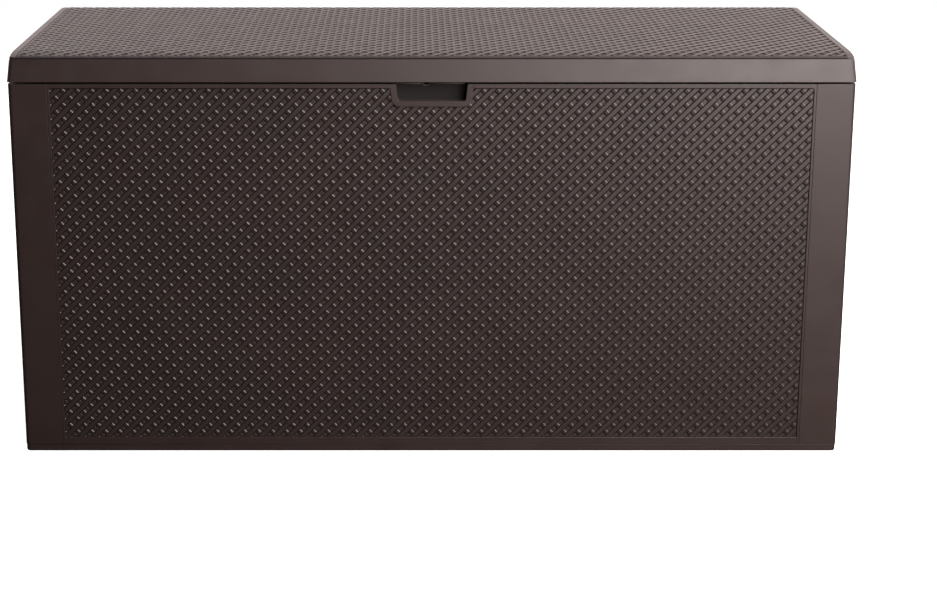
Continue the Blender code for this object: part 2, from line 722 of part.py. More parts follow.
def stay_rail(hand, side):
    """A plate with a straight channel, closed at both ends, and its two screws."""
    start, end = RAIL_SPAN
    middle = (start + end) / 2
    half = (end - start) / 2
    channel = SHOE_R + GAP
    wall = channel + RAIL_WALL
    rail = blocks(f"stay_rail_{hand}", [(stay_layer(side, 0, RAIL_DEPTH), (-half, half), (-wall, wall))])
    ear = blocks(f"rail_ear_{hand}", [(stay_layer(side, 0, RAIL_PLATE), (-half, half), (-RAIL_EAR, 0))])
    join(rail, ear)
    slot = (
        stay_layer(side, RAIL_PLATE, RAIL_DEPTH + 0.001),
        (RAIL_END - half, half - RAIL_END),
        (-channel, channel),
    )
    slots = blocks(f"rail_channel_{hand}", [slot])
    cut(rail, slots)
    centres = [(side * rail_back, middle - along, -RAIL_SCREW_DROP) for along in RAIL_SCREWS]
    holes = rods(f"rail_holes_{hand}", centres, (1, 0, 0), SCREW_R + GAP, 0.02, 12)
    cut(rail, holes)
    for placed in (rail, ear, slots, holes):
        placed.location = (0, *rail_point(middle))
        placed.rotation_euler = (RAIL_SLOPE, 0, 0)
    finish_piece(rail, NYLON)
    for along, place in zip(RAIL_SCREWS, ("rear", "front")):
        at = (side * (rail_back - RAIL_PLATE), *rail_point(along, RAIL_SCREW_DROP))
        screw(f"rail_screw_{hand}_{place}", at, (side, 0, 0), 0.014)


def stay_bracket(hand, side, hinge):
    """A plate that hangs from the lid, with a foot turned inwards and its two screws."""
    foot_half, pivot_half = BRACKET_HALF
    outline = rounded((
        (pivot_y - foot_half, foot_z[1], 0),
        (pivot_y - pivot_half, pivot_z - pivot_half, BRACKET_R),
        (pivot_y + pivot_half, pivot_z - pivot_half, BRACKET_R),
        (pivot_y + foot_half, foot_z[1], 0),
    ))
    bracket = plate(f"stay_bracket_{hand}", [outline], YZ_PLATE, stay_layer(side, *BRACKET_LAYER))
    foot_x = stay_layer(side, BRACKET_LAYER[0] + 0.0005, rail_back - FOOT_SCREW_X + 0.008)
    foot_y = (pivot_y - BRACKET_FOOT_HALF, pivot_y + BRACKET_FOOT_HALF)
    join(bracket, blocks(f"bracket_foot_{hand}", [(foot_x, foot_y, foot_z)]))
    pivot = (side * (rail_back - BRACKET_LAYER[0]), pivot_y, pivot_z)
    cut(bracket, rods(f"bracket_hole_{hand}", [pivot], (1, 0, 0), PIVOT_R + GAP, 0.02))
    screws = [
        (side * FOOT_SCREW_X, pivot_y + offset * FOOT_SCREW_SPACING / 2, foot_z[0]) for offset in (-1, 1)
    ]
    cut(bracket, rods(f"foot_holes_{hand}", screws, (0, 0, 1), SCREW_R + GAP, 0.02, 12))
    finish_piece(bracket, COATED_STEEL, hinge)
    for at, place in zip(screws, ("front", "rear")):
        screw(f"bracket_screw_{hand}_{place}", at, (0, 0, 1), 0.012, hinge)


def stay_arm(hand, side, turn):
    """A bar with rounded ends and a stub that carries the shoe."""
    pivot, shoe = Vector((pivot_y, pivot_z)), Vector(rail_point(2 * STAY_REACH))
    along = (shoe - pivot).normalized()
    beside = Vector((-along.y, along.x))
    steps = 8
    outline = []
    for centre, radius, first in ((shoe, ARM_END_R[0], pi / 2), (pivot, ARM_END_R[1], -pi / 2)):
        for step in range(steps + 1):
            angle = first - pi * step / steps
            outline.append(centre + along * radius * cos(angle) + beside * radius * sin(angle))
    arm = plate(f"stay_arm_{hand}", [outline], YZ_PLATE, stay_layer(side, *ARM_LAYER))
    hole = (side * (rail_back - BRACKET_LAYER[0]), pivot_y, pivot_z)
    cut(arm, rods(f"arm_hole_{hand}", [hole], (1, 0, 0), PIVOT_R + GAP, 0.02))
    stub_length = ARM_LAYER[1] - RAIL_PLATE - 0.0012
    stub_x = side * (rail_back - ARM_LAYER[1] + 0.0005 + stub_length / 2)
    join(arm, rods(f"arm_stub_{hand}", [(stub_x, *shoe)], (1, 0, 0), STUB_R, stub_length, 12))
    finish_piece(arm, COATED_STEEL, turn)


def stay_shoe(hand, side, turn):
    """A round shoe pressed on the arm's stub, which slides in the rail's channel."""
    shoe = turned(f"stay_shoe_{hand}", (
        (SHOE_BORE_R, SHOE_HALF), (SHOE_R - SHOE_CHAMFER, SHOE_HALF), (SHOE_R, SHOE_HALF - SHOE_CHAMFER),
        (SHOE_R, SHOE_CHAMFER - SHOE_HALF), (SHOE_R - SHOE_CHAMFER, -SHOE_HALF),
        (SHOE_BORE_R, -SHOE_HALF), (SHOE_BORE_R, SHOE_HALF),
    ), 16)
    shoe.location = (side * (rail_back - RAIL_PLATE - 0.0008 - SHOE_HALF), *rail_point(2 * STAY_REACH))
    shoe.rotation_euler = (0, pi / 2, 0)
    bpy.context.view_layer.update()
    finish_piece(shoe, NYLON, turn)


def stay_pin(hand, side, hinge):
    """The pivot pin, its head on the bracket's inner face."""
    inner_face = BRACKET_LAYER[1]
    reach = inner_face - ARM_LAYER[0] - 0.0004
    pin = turned(f"stay_pivot_pin_{hand}", (
        (0, PIN_HEAD), (PIN_HEAD_R * 0.8, PIN_HEAD), (PIN_HEAD_R, PIN_HEAD * 0.6), (PIN_HEAD_R, GAP),
        (PIVOT_R, GAP), (PIVOT_R, -reach), (0, -reach),
    ), 16)
    pin.location = (side * (rail_back - inner_face), pivot_y, pivot_z)
    pin.rotation_euler = Vector((0, 0, -1)).rotation_difference(Vector((side, 0, 0))).to_euler()
    bpy.context.view_layer.update()
    finish_piece(pin, STEEL, hinge)


def stay(hand, side, hinge):
    """One lid stay: rail, bracket, arm, shoe and pivot pin."""
    stay_rail(hand, side)
    stay_bracket(hand, side, hinge)
    pivot = (side * (rail_back - BRACKET_LAYER[0]), pivot_y, pivot_z)
    turn = axis_empty(f"stay_axis_{hand}", pivot, hinge)
    stay_arm(hand, side, turn)
    stay_shoe(hand, side, turn)
    stay_pin(hand, side, hinge)


clear_scene()
parts = new_collection("deck_storage_box")
cutters = new_collection("cutters")
base()
front_panel()
pocket_insert()
rear_panel()
side_panel("left_side_panel", -1)
side_panel("right_side_panel", 1)
corner_screws()
hinge_pins()
hinge_axis = axis_empty("lid_hinge_axis", (0, hinge_y, hinge_z))
lid_shell(hinge_axis)
lock_tab(hinge_axis)
screw("lock_tab_screw", (LOCK_X, lock_screw_y, foot_z[0]), (0, 0, 1), 0.012, hinge_axis)
stay("left", -1, hinge_axis)
stay("right", 1, hinge_axis)
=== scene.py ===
import json
import math

import bpy
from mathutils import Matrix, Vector


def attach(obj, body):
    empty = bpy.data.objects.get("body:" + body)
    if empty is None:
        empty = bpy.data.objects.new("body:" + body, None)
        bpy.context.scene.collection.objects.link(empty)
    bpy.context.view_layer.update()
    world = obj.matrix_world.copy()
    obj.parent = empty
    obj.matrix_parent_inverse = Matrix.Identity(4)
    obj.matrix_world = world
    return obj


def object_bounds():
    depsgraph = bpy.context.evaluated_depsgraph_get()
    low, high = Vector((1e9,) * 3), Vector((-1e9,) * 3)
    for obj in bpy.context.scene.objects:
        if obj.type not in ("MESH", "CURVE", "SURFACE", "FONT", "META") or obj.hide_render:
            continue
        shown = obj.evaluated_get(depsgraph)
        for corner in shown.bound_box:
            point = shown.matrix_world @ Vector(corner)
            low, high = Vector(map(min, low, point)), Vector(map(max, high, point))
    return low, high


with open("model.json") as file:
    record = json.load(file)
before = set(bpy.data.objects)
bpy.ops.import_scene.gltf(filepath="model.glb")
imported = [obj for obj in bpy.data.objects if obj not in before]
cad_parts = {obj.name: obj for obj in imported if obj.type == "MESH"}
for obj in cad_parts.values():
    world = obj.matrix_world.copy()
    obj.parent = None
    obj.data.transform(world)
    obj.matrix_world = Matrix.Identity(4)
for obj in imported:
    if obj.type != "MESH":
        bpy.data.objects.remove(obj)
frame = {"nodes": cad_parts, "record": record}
cadLow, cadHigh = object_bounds()
nodes = frame["nodes"]
bpy.ops.object.select_all(action="DESELECT")
print("frame loaded:", len(nodes), "CAD nodes")


# Ways of working: one piece is active at a time, and what to shape is picked by its place
def only(piece):
    if bpy.context.object and bpy.context.object.mode != "OBJECT":
        bpy.ops.object.mode_set(mode="OBJECT")
    bpy.ops.object.select_all(action="DESELECT")
    piece.select_set(True)
    bpy.context.view_layer.objects.active = piece


def settle(piece):  # its place goes into its mesh
    only(piece)
    bpy.ops.object.transform_apply(location=True, rotation=True, scale=True)
    return piece


def box(name, x, y, z):
    bpy.ops.mesh.primitive_cube_add(
        size=1,
        location=((x[0] + x[1]) / 2, (y[0] + y[1]) / 2, (z[0] + z[1]) / 2),
        scale=(x[1] - x[0], y[1] - y[0], z[1] - z[0]),
    )
    piece = bpy.context.object
    piece.name = piece.data.name = name
    return settle(piece)


def clearPicks(piece):
    only(piece)
    for part in (piece.data.vertices, piece.data.edges, piece.data.polygons):
        part.foreach_set("select", [False] * len(part))


def pickEdges(piece, wanted):
    clearPicks(piece)
    points = piece.data.vertices
    for edge in piece.data.edges:
        edge.select = wanted(points[edge.vertices[0]].co, points[edge.vertices[1]].co)
    bpy.context.tool_settings.mesh_select_mode = (False, True, False)
    bpy.ops.object.mode_set(mode="EDIT")


def pickPoints(piece, wanted):
    clearPicks(piece)
    for point in piece.data.vertices:
        point.select = wanted(point.co)
    bpy.context.tool_settings.mesh_select_mode = (True, False, False)
    bpy.ops.object.mode_set(mode="EDIT")


def pickAll(piece):
    only(piece)
    bpy.ops.object.mode_set(mode="EDIT")
    bpy.ops.mesh.select_all(action="SELECT")


def shaped():
    bpy.ops.object.mode_set(mode="OBJECT")


def copyOf(piece, name):
    only(piece)
    bpy.ops.object.duplicate(linked=False)
    made = bpy.context.object
    made.name = made.data.name = name
    return made


def joined(name, pieces):
    only(pieces[0])
    for piece in pieces:
        piece.select_set(True)
    bpy.ops.object.join()
    made = bpy.context.object
    made.name = made.data.name = name
    return made


def repeated(piece, axis, step, count):
    only(piece)
    array = piece.modifiers.new("repeat", "ARRAY")
    array.use_relative_offset = False
    array.use_constant_offset = True
    array.constant_offset_displace = [step if place == axis else 0 for place in range(3)]
    array.count = count
    bpy.ops.object.modifier_apply(modifier=array.name)
    return piece


def trimmed(piece, planes):  # keeps what lies behind each plane, given as a point and a normal
    pickAll(piece)
    bpy.ops.mesh.select_mode(type="EDGE")
    for point, normal in planes:
        bpy.ops.mesh.select_all(action="SELECT")
        bpy.ops.mesh.bisect(plane_co=point, plane_no=normal, clear_outer=True)
        bpy.ops.mesh.select_all(action="DESELECT")
        bpy.ops.mesh.select_non_manifold()
        bpy.ops.mesh.fill_holes(sides=0)
    bpy.ops.mesh.select_all(action="SELECT")
    bpy.ops.mesh.normals_make_consistent(inside=False)
    shaped()
    return piece


def turned(piece, degrees, axis):
    only(piece)
    piece.rotation_euler["XYZ".index(axis)] = math.radians(degrees)
    return settle(piece)


def moved(piece, offset):
    only(piece)
    piece.location = offset
    return settle(piece)


def finished(piece, body, material, smooth=30):
    only(piece)
    piece.data.materials.clear()
    piece.data.materials.append(material)
    bpy.ops.object.shade_smooth_by_angle(angle=math.radians(smooth))
    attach(piece, body)
    return piece


# Shared effects
def nodeGroup(name, inputs, outputs):
    group = bpy.data.node_groups.new(name, "ShaderNodeTree")
    for label, kind, value in inputs:
        socket = group.interface.new_socket(name=label, in_out="INPUT", socket_type=kind)
        socket.default_value = value
    for label, kind in outputs:
        group.interface.new_socket(name=label, in_out="OUTPUT", socket_type=kind)
    return group, group.nodes.new("NodeGroupInput"), group.nodes.new("NodeGroupOutput")


def link(tree, source, target):
    tree.links.new(source, target)


def noise(tree, vector, scale, detail):
    texture = tree.nodes.new("ShaderNodeTexNoise")
    texture.inputs["Scale"].default_value = scale
    texture.inputs["Detail"].default_value = detail
    link(tree, vector, texture.inputs["Vector"])
    return texture


def ramp(tree, value, low, high):  # spreads a noise over low to high
    change = tree.nodes.new("ShaderNodeMapRange")
    change.inputs["From Min"].default_value, change.inputs["From Max"].default_value = grainSizes["span"]
    change.inputs["To Min"].default_value = low
    change.inputs["To Max"].default_value = high
    link(tree, value, change.inputs["Value"])
    return change.outputs["Result"]


grainSizes = {
    "pits": (1500, 2),  # each a noise's scale and detail
    "tone": (9, 3),
    "gloss": (38, 3),
    "span": (0.3, 0.7),  # where most of a noise lies
    "pitDepth": 0.0002,
}


def makeGrainGroup():  # moulded grain: fine pits, and slow changes of tone and gloss
    group, given, out = nodeGroup(
        "mouldedGrain",
        [("Scale", "NodeSocketFloat", 1.0)],
        [("Height", "NodeSocketFloat"), ("Tone", "NodeSocketFloat"), ("Gloss", "NodeSocketFloat")],
    )
    place = group.nodes.new("ShaderNodeTexCoord")
    grow = group.nodes.new("ShaderNodeVectorMath")
    grow.operation = "SCALE"
    link(group, place.outputs["Object"], grow.inputs[0])
    link(group, given.outputs["Scale"], grow.inputs["Scale"])
    fine = noise(group, grow.outputs[0], *grainSizes["pits"])
    slow = noise(group, place.outputs["Object"], *grainSizes["tone"])
    patch = noise(group, place.outputs["Object"], *grainSizes["gloss"])
    link(group, fine.outputs["Fac"], out.inputs["Height"])
    link(group, slow.outputs["Fac"], out.inputs["Tone"])
    link(group, patch.outputs["Fac"], out.inputs["Gloss"])
    return group


def maths(tree, kind, first, second=0):  # each input is a number or another node's output
    node = tree.nodes.new("ShaderNodeMath")
    node.operation = kind
    for place, value in enumerate((first, second)):
        if isinstance(value, (int, float)):
            node.inputs[place].default_value = value
        else:
            link(tree, value, node.inputs[place])
    return node.outputs[0]


def makePaintedGrooveShadeGroup():  # mask of painted shade in grooves: one from Floor to Full, nothing from Clear on and below Floor
    levels = [(label, "NodeSocketFloat", 0.0) for label in ("Level", "Floor", "Full", "Clear")]
    group, given, out = nodeGroup("grooveShade", levels, [("Mask", "NodeSocketFloat")])
    fade = group.nodes.new("ShaderNodeMapRange")
    for label, place in (("Level", "Value"), ("Full", "From Min"), ("Clear", "From Max")):
        link(group, given.outputs[label], fade.inputs[place])
    fade.inputs["To Min"].default_value = 1
    fade.inputs["To Max"].default_value = 0
    above = maths(group, "GREATER_THAN", given.outputs["Level"], given.outputs["Floor"])
    link(group, maths(group, "MULTIPLY", fade.outputs["Result"], above), out.inputs["Mask"])
    return group


def levelOf(tree, groove):  # how far a point stands out along the field's axis, with the lid's roll taken out
    place = tree.nodes.new("ShaderNodeTexCoord").outputs["Object"]
    along = tree.nodes.new("ShaderNodeVectorMath")
    along.operation = "DOT_PRODUCT"
    along.inputs[1].default_value = groove["axis"]
    link(tree, place, along.inputs[0])
    level = along.outputs["Value"]
    if "roll" in groove:
        front, rear, width, drop = groove["roll"]
        parts = tree.nodes.new("ShaderNodeSeparateXYZ")
        link(tree, place, parts.inputs[0])
        depth = parts.outputs["Y"]
        fromFront, fromRear = maths(tree, "SUBTRACT", depth, front), maths(tree, "SUBTRACT", rear, depth)
        inward = maths(tree, "MINIMUM", fromFront, fromRear)
        left = maths(tree, "MAXIMUM", maths(tree, "SUBTRACT", 1, maths(tree, "DIVIDE", inward, width)), 0)
        level = maths(tree, "ADD", level, maths(tree, "MULTIPLY", maths(tree, "POWER", left, 2), drop))
    return level


def makeMoulded(name, finish, groove=None):
    material = bpy.data.materials.new(name)
    material.use_nodes = True
    tree = material.node_tree
    shader = tree.nodes["Principled BSDF"]
    shader.inputs["Metallic"].default_value = finish.get("metal", 0)
    grain = tree.nodes.new("ShaderNodeGroup")
    grain.node_tree = groups["grain"]
    grain.inputs["Scale"].default_value = finish["grainScale"]
    tone = tree.nodes.new("ShaderNodeMix")
    tone.data_type = "RGBA"
    tone.inputs["A"].default_value = finish["dark"]
    tone.inputs["B"].default_value = finish["light"]
    link(tree, ramp(tree, grain.outputs["Tone"], 0, 1), tone.inputs["Factor"])
    low, high = finish["roughness"]
    colour, gloss = tone.outputs["Result"], ramp(tree, grain.outputs["Gloss"], low, high)
    # Painted shade: the groove colour darkens the base colour where the mask is one, in groove walls and
    # floors where shade falls; roughness is raised there too.
    if groove:
        shade = tree.nodes.new("ShaderNodeGroup")
        shade.node_tree = groups["groove"]
        link(tree, levelOf(tree, groove), shade.inputs["Level"])
        for label in ("behind", "full", "clear"):
            socket = "Floor" if label == "behind" else label.capitalize()
            shade.inputs[socket].default_value = groove["floor"] + groove[label]
        paintedShade = tree.nodes.new("ShaderNodeMix")
        paintedShade.data_type = "RGBA"
        paintedShade.inputs["B"].default_value = finish["groove"]
        link(tree, colour, paintedShade.inputs["A"])
        mask = shade.outputs["Mask"]
        if "half" in groove:  # only between the field's ends
            across = tree.nodes.new("ShaderNodeSeparateXYZ")
            link(tree, tree.nodes.new("ShaderNodeTexCoord").outputs["Object"], across.inputs[0])
            reach = maths(tree, "ABSOLUTE", across.outputs["X"])
            mask = maths(tree, "MULTIPLY", mask, maths(tree, "LESS_THAN", reach, groove["half"]))
        link(tree, mask, paintedShade.inputs["Factor"])
        dull = tree.nodes.new("ShaderNodeMix")
        dull.inputs["B"].default_value = finish["grooveRoughness"]
        link(tree, gloss, dull.inputs["A"])
        link(tree, mask, dull.inputs["Factor"])
        colour, gloss = paintedShade.outputs["Result"], dull.outputs["Result"]
    link(tree, colour, shader.inputs["Base Color"])
    link(tree, gloss, shader.inputs["Roughness"])
    bump = tree.nodes.new("ShaderNodeBump")
    bump.inputs["Strength"].default_value = finish["grainDepth"]
    bump.inputs["Distance"].default_value = grainSizes["pitDepth"]
    link(tree, grain.outputs["Height"], bump.inputs["Height"])
    if finish.get("softEdge"):
        edge = tree.nodes.new("ShaderNodeBevel")
        edge.samples = 6
        edge.inputs["Radius"].default_value = finish["softEdge"]
        link(tree, edge.outputs["Normal"], bump.inputs["Normal"])
    link(tree, bump.outputs["Normal"], shader.inputs["Normal"])
    return material


groups = {"grain": makeGrainGroup(), "groove": makePaintedGrooveShadeGroup()}
resinFinish = {
    "dark": (0.0215, 0.0122, 0.0105, 1),
    "light": (0.0265, 0.0152, 0.0132, 1),
    # groove: painted shade colour for groove walls and floors
    "groove": (0.0035, 0.0025, 0.0022, 1),
    "grooveRoughness": 0.95,
    "roughness": (0.41, 0.48),
    "grainScale": 1.0,
    "grainDepth": 0.25,
    "softEdge": 0.0010,
}
nylonFinish = dict(resinFinish, dark=(0.012, 0.012, 0.012, 1), light=(0.016, 0.016, 0.016, 1))
coatedFinish = dict(
    resinFinish, dark=(0.020, 0.017, 0.016, 1), light=(0.026, 0.022, 0.02, 1), softEdge=0.0004
)
zincFinish = dict(
    coatedFinish, metal=1, dark=(0.52, 0.51, 0.49, 1), light=(0.6, 0.59, 0.57, 1), roughness=(0.28, 0.4)
)
wovenFinish = dict(resinFinish, softEdge=0)
lidRoll = (-0.221, 0.2175, 0.035, 0.0035)  # front edge, rear edge, width and drop
shallow = {"behind": -0.0006, "full": 0.0007, "clear": 0.0012}  # levels over the floor of a field: the painted groove shade starts at behind, is full up to full and is gone by clear
# Painted shade for each field: darkens the weave's grooves, the recess floors and walls of panels and lid,
# and the shadow line under the lid's edge
grooves = {
    "front": dict(shallow, axis=(0, -1, 0), floor=0.221),
    "rear": dict(shallow, axis=(0, 1, 0), floor=0.2175),
    "left": dict(shallow, axis=(-1, 0, 0), floor=0.581),
    "right": dict(shallow, axis=(1, 0, 0), floor=0.581),
    "lid": dict(shallow, axis=(0, 0, 1), floor=0.5775, full=0.0011, clear=0.0018, half=0.5715, roll=lidRoll),
}
# Painted shade inside the finger pocket, where the lid's lip shades it: full deep in, fading out at the
# pocket's mouth
pocketShadeLevels = {"axis": (0, -1, 0), "floor": 0.200, "behind": -0.05, "full": 0.016, "clear": 0.0232}
resin = makeMoulded("brownResin", resinFinish)
nylon = makeMoulded("blackNylon", nylonFinish)
coated = makeMoulded("coatedSteel", coatedFinish)
zinc = makeMoulded("zincSteel", zincFinish)
# panel and woven materials each carry their field's painted groove shade
panelResin = {side: makeMoulded(side + "Panel", resinFinish, groove) for side, groove in grooves.items()}
woven = {side: makeMoulded(side + "Woven", wovenFinish, groove) for side, groove in grooves.items()}
# the pocket's painted shade colour, lighter than the grooves'
pocketShadeFinish = dict(resinFinish, groove=(0.0075, 0.0048, 0.0042, 1))
pocketResinPaintedShade = makeMoulded("pocketResinPaintedShade", pocketShadeFinish, pocketShadeLevels)
print("finishes made")


# Woven pattern: flat strips one way, and short humped beads between them
weave = {
    "step": 0.01414,
    "stripWidth": 0.0056,
    "stripRise": 0.0021,
    "beadLength": 0.0122,
    "beadWidth": 0.0055,
    "beadEnds": (0.0020, 0.0013),
    "crest": (0.0041, 0.00235),
    "stepFoot": (0.0055, 0.00135),
    "sink": 0.0003,
    "edge": 0.0003,
    "stripEdge": 0.00039,
    "cells": 80,
    "smooth": 12,
}


def makeWeaveStock():
    w = weave
    half = w["cells"] * w["step"] / 2
    long, wide, ends = w["beadLength"], w["beadWidth"] / 2, w["beadEnds"]
    bead = box("bead", (0, long), (-wide, wide), (-w["sink"], ends[0]))
    pickAll(bead)
    for at, rise in (w["crest"], w["stepFoot"]):
        bpy.ops.mesh.select_all(action="SELECT")
        bpy.ops.mesh.bisect(plane_co=(at, 0, 0), plane_no=(1, 0, 0))
    for at, rise in (w["crest"], w["stepFoot"], (long, ends[1])):
        pickPoints(bead, lambda p: abs(p.x - at) < 1e-5 and p.z > 0)
        bpy.ops.transform.translate(value=(0, 0, rise - ends[0]))
    alongSide = lambda a, b: min(abs(a.y), abs(b.y)) > wide - 1e-5 and a.y * b.y > 0
    alongEnd = lambda a, b: abs(a.x - b.x) < 1e-5 and (a.x < 1e-5 or a.x > long - 1e-5)
    pickEdges(bead, lambda a, b: min(a.z, b.z) > 0.0005 and (alongSide(a, b) or alongEnd(a, b)))
    bpy.ops.mesh.bevel(offset=w["edge"], segments=1, affect="EDGES")
    shaped()
    overCrest = lambda p: abs(p.x - w["crest"][0]) < 1e-5 and p.z > w["stepFoot"][1]
    pickEdges(bead, lambda a, b: overCrest(a) and overCrest(b))
    bpy.ops.mesh.bevel(offset=w["edge"], segments=2, affect="EDGES")
    shaped()
    moved(bead, (-half, 0, 0))
    repeated(bead, 0, w["step"], w["cells"])
    moved(bead, (0, -half, 0))
    repeated(bead, 1, w["step"], w["cells"])
    wide = w["stripWidth"] / 2
    strip = box("strip", (-half, half), (-wide, wide), (-w["sink"], w["stripRise"]))
    pickEdges(strip, lambda a, b: min(a.z, b.z) > 0 and abs(a.x - b.x) > half)
    bpy.ops.mesh.bevel(offset=w["stripEdge"], segments=2, affect="EDGES")
    shaped()
    moved(strip, (0, -half + w["step"] / 2, 0))
    repeated(strip, 1, w["step"], w["cells"])
    stock = joined("weaveStock", [bead, strip])
    return turned(stock, 45, "Z")


def rectangle(x, y):
    left, right = ((x[0], 0, 0), (-1, 0, 0)), ((x[1], 0, 0), (1, 0, 0))
    return left, right, ((0, y[0], 0), (0, -1, 0)), ((0, y[1], 0), (0, 1, 0))


def wovenField(name, areas, lift=1.0):  # areas are (x, y) extents in the flat; the pattern stands along z
    whole = [[edge for area in areas for edge in area[way]] for way in (0, 1)]
    sheet = trimmed(copyOf(weaveStock, name), rectangle(*[(min(edges), max(edges)) for edges in whole]))
    if len(areas) > 1:
        parts = [trimmed(copyOf(sheet, name + "Part"), rectangle(*area)) for area in areas]
        bpy.data.objects.remove(sheet)
        sheet = joined(name, parts)
    sheet.scale.z = lift
    return settle(sheet)


weaveStock = makeWeaveStock()
print("weave stock:", len(weaveStock.data.polygons), "faces")

frontField = {
    "half": 0.5257,
    "bottom": 0.0223,
    "top": 0.5326,
    "pocketHalf": 0.0520,
    "pocketBottom": 0.5115,
    "floor": -0.221,
}


def makeFrontWeave():
    f = frontField
    middle = (f["bottom"] + f["top"]) / 2
    low, high, pocket = f["bottom"] - middle, f["top"] - middle, f["pocketBottom"] - middle
    areas = [
        ((-f["half"], -f["pocketHalf"]), (low, high)),
        ((f["pocketHalf"], f["half"]), (low, high)),
        ((-f["pocketHalf"], f["pocketHalf"]), (low, pocket)),
    ]
    field = wovenField("frontWeave", areas)
    turned(field, 90, "X")
    moved(field, (0, f["floor"], middle))
    return finished(field, "box", woven["front"], weave["smooth"])


makeFrontWeave()

rearField = {"half": 0.5257, "bottom": 0.0223, "top": 0.5326, "floor": 0.2175}


def makeRearWeave():
    f = rearField
    middle = (f["bottom"] + f["top"]) / 2
    field = wovenField("rearWeave", [((-f["half"], f["half"]), (f["bottom"] - middle, f["top"] - middle))])
    turned(field, 90, "X")
    turned(field, 180, "Z")
    moved(field, (0, f["floor"], middle))
    return finished(field, "box", woven["rear"], weave["smooth"])


makeRearWeave()

sideField = {
    "front": -0.1732,
    "rear": 0.1697,
    "bottom": 0.0223,
    "top": 0.5326,
    "floor": 0.581,
    "grip": (-0.0590, 0.0555),
    "gripZ": (0.4555, 0.4945),
}


def makeSideWeave(name, side):
    f = sideField
    middle = (f["bottom"] + f["top"]) / 2
    depth = (f["front"] + f["rear"]) / 2
    across = lambda y: tuple(sorted((side * (y[0] - depth), side * (y[1] - depth))))
    up = lambda low, high: (low - middle, high - middle)
    whole, grip = (f["front"], f["rear"]), f["grip"]
    areas = [
        (across((whole[0], grip[0])), up(f["bottom"], f["top"])),
        (across((grip[1], whole[1])), up(f["bottom"], f["top"])),
        (across(grip), up(f["bottom"], f["gripZ"][0])),
        (across(grip), up(f["gripZ"][1], f["top"])),
    ]
    field = wovenField(name, areas)
    turned(field, 90, "X")
    turned(field, 90 * side, "Z")
    moved(field, (side * f["floor"], depth, middle))
    return finished(field, "box", woven["left" if side < 0 else "right"], weave["smooth"])


makeSideWeave("leftWeave", -1)
makeSideWeave("rightWeave", 1)

lidField = {
    "half": 0.5702,
    "front": -0.2153,
    "rear": 0.2067,
    "floor": 0.5775,
    "lift": 1.05,
    "rollRows": 4,
}


def makeLidWeave():
    f = lidField
    front, rear, width, drop = lidRoll
    middle = (f["front"] + f["rear"]) / 2
    area = ((-f["half"], f["half"]), (f["front"] - middle, f["rear"] - middle))
    field = wovenField("lidWeave", [area], f["lift"])
    moved(field, (0, middle, f["floor"]))
    pickAll(field)
    for row in range(1, f["rollRows"] + 1):  # rows of points for the roll
        inward = width * row / f["rollRows"]
        for at in (front + inward, rear - inward):
            bpy.ops.mesh.select_all(action="SELECT")
            bpy.ops.mesh.bisect(plane_co=(0, at, 0), plane_no=(0, 1, 0))
    shaped()
    for point in field.data.vertices:
        inward = min(point.co.y - front, rear - point.co.y)
        if inward < width:
            point.co.z -= drop * (1 - inward / width) ** 2
    return finished(field, "lid", woven["lid"], weave["smooth"])


makeLidWeave()
bpy.data.objects.remove(weaveStock)
print("woven fields laid")

pocketBead = {
    "half": 0.0490,
    "hole": (-0.0150, 0.0010),
    "y": (-0.2062, -0.2047),
    "z": (0.5352, 0.5378),
    "edge": 0.0004,
}


def makePocketBead():  # a bead of plain resin on each side of the padlock hole, standing out light against the pocket's painted shade
    p = pocketBead
    ends = [(-p["half"], p["hole"][0]), (p["hole"][1], p["half"])]
    bead = joined("pocketBead", [box("beadPart", x, p["y"], p["z"]) for x in ends])
    pickAll(bead)
    bpy.ops.mesh.bevel(offset=p["edge"], segments=2, affect="EDGES")
    shaped()
    return finished(bead, "box", resin)


makePocketBead()
print("pocket bead made")

# CAD nodes keep their shapes; the panels, lid shell and pocket insert take finishes with painted shade in
# their recesses
finishes = {"resin": resin, "nylon": nylon, "coated_steel": coated, "steel": zinc}
paintedShadeMaterials = {
    "pocket_insert": pocketResinPaintedShade,
    "front_panel": panelResin["front"],
    "rear_panel": panelResin["rear"],
    "left_side_panel": panelResin["left"],
    "right_side_panel": panelResin["right"],
    "lid_shell": panelResin["lid"],
}
for row in frame["record"]["subparts"]:
    for place in nodes[row["node"]].material_slots:
        place.material = paintedShadeMaterials.get(row["node"], finishes[row["material_slot"]])
print("CAD nodes finished")

# Camera
view = {
    "place": (-0.0226, -2.8215, 1.0549),
    "tilt": 75.92,
    "lens": 73.93,
    "shift": (0.0568, -0.1355),
}


def makeCamera():
    bpy.ops.object.camera_add(location=view["place"], rotation=(math.radians(view["tilt"]), 0, 0))
    camera = bpy.context.object
    camera.data.lens = view["lens"]
    camera.data.shift_x, camera.data.shift_y = view["shift"]
    bpy.context.scene.camera = camera


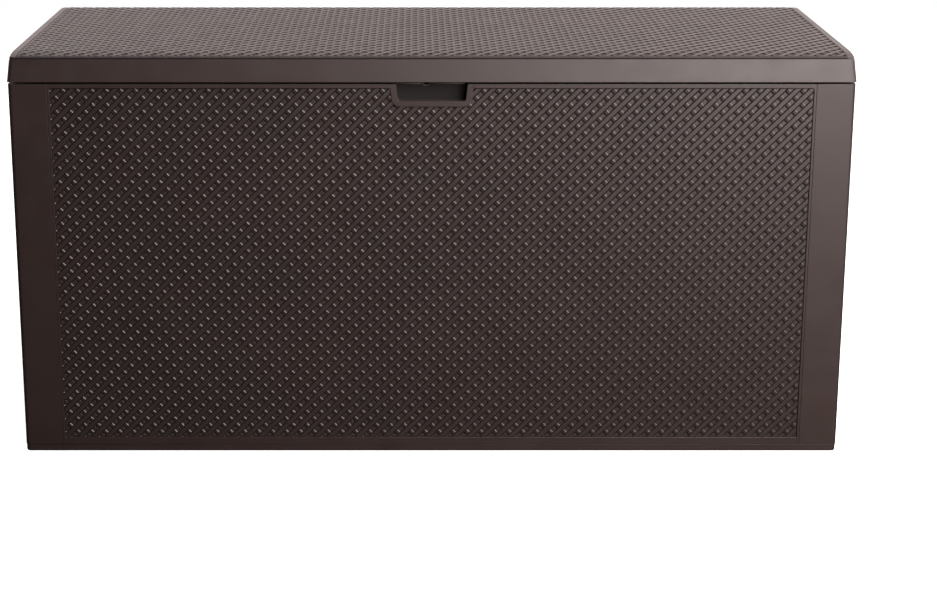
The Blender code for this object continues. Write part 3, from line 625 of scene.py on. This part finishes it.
# Studio
studio = {
    "floorSize": 14,
    "floorColour": (0.62, 0.62, 0.62, 1),
    "floorRoughness": 0.9,
    "floorGlow": 0.9,
    "floorBelow": 0.0004,
    "air": 0.03,
    "airColour": (0.9, 0.93, 1.0, 1),
    "seenColour": (1, 1, 1, 1),
    "backLamps": ("lowBack", "back", "highBack"),
    "frontWarmth": (1.0, 0.95, 0.935),
    "backWarmth": (1.0, 0.87, 0.85),
}
lamps = {
    "lowKey": {"place": (1.2, -1.6, 0.5), "aim": (0.5, -0.22, 0.4), "size": (1.0, 0.8), "power": 10.8},
    "highKey": {"place": (1.2, -1.5, 1.9), "aim": (0.4, -0.22, 0.45), "size": (1.4, 1.4), "power": 58},
    "endKey": {"place": (0.72, -1.7, 0.9), "aim": (0.45, -0.22, 0.5), "size": (1.0, 0.8), "power": 22},
    "fill": {"place": (0.2, -3.2, 1.6), "aim": (0, -0.22, 0.4), "size": (2.5, 1.6), "power": 4.5},
    "lowBack": {"place": (0, 3.2, 0.95), "aim": (0, 0, 0.55), "size": (5.0, 0.7), "power": 16},
    "back": {"place": (0, 3.2, 1.5), "aim": (0, 0, 0.55), "size": (5.0, 0.8), "power": 14},
    "highBack": {"place": (0, 2.6, 2.4), "aim": (0, 0, 0.55), "size": (4.0, 1.2), "power": 32},
    "glint": {"place": (2.3, -0.85, 1.35), "aim": (0.5, -0.22, 0.3), "size": (1.0, 1.0), "power": 26},
    "leftEnd": {"place": (-2.4, 1.5, 1.1), "aim": (-0.5, 0.1, 0.35), "size": (1.4, 1.2), "power": 55},
    "rightEnd": {"place": (2.4, 1.5, 1.1), "aim": (0.5, 0.1, 0.35), "size": (1.4, 1.2), "power": 45},
    "top": {"place": (1.3, -0.4, 1.9), "aim": (0.3, -0.1, 0.5), "size": (1.2, 1.2), "power": 34},
}


def addLamp(name, place, aim, size, power, colour):
    bpy.ops.object.light_add(type="AREA", location=place)
    lamp = bpy.context.object
    lamp.name = name
    lamp.data.shape = "RECTANGLE"
    lamp.data.size, lamp.data.size_y = size
    lamp.data.energy = power
    lamp.data.color = colour
    lamp.visible_camera = False
    lamp.rotation_euler = (Vector(aim) - Vector(place)).to_track_quat("-Z", "Y").to_euler()


def makeStudio():
    floorLevel = cadLow.z - studio["floorBelow"]
    bpy.ops.mesh.primitive_plane_add(size=studio["floorSize"], location=(0, 0, floorLevel))
    floor = bpy.context.object
    floor.name = "studioFloor"
    paper = bpy.data.materials.new("palePaper")
    paper.use_nodes = True
    shader = paper.node_tree.nodes["Principled BSDF"]
    shader.inputs["Base Color"].default_value = studio["floorColour"]
    shader.inputs["Roughness"].default_value = studio["floorRoughness"]
    shader.inputs["Emission Color"].default_value = studio["seenColour"]
    shader.inputs["Emission Strength"].default_value = studio["floorGlow"]
    floor.data.materials.append(paper)
    floor.visible_glossy = False
    floor.visible_diffuse = False
    for name, lamp in lamps.items():
        warmth = studio["backWarmth" if name in studio["backLamps"] else "frontWarmth"]
        addLamp(name + "Lamp", colour=warmth, **lamp)
    world = bpy.data.worlds.new("studioAir")
    bpy.context.scene.world = world
    world.use_nodes = True
    tree = world.node_tree
    tree.nodes.clear()
    out = tree.nodes.new("ShaderNodeOutputWorld")
    mix = tree.nodes.new("ShaderNodeMixShader")  # dim air lights the box, and the camera sees white
    path = tree.nodes.new("ShaderNodeLightPath")
    link(tree, path.outputs["Is Camera Ray"], mix.inputs["Fac"])
    for place, colour, strength in ((1, studio["airColour"], studio["air"]), (2, studio["seenColour"], 1)):
        glow = tree.nodes.new("ShaderNodeBackground")
        glow.inputs["Color"].default_value = colour
        glow.inputs["Strength"].default_value = strength
        link(tree, glow.outputs[0], mix.inputs[place])
    link(tree, mix.outputs[0], out.inputs["Surface"])
    bpy.context.scene.view_settings.view_transform = "Standard"


makeStudio()
makeCamera()
print("studio and camera made")
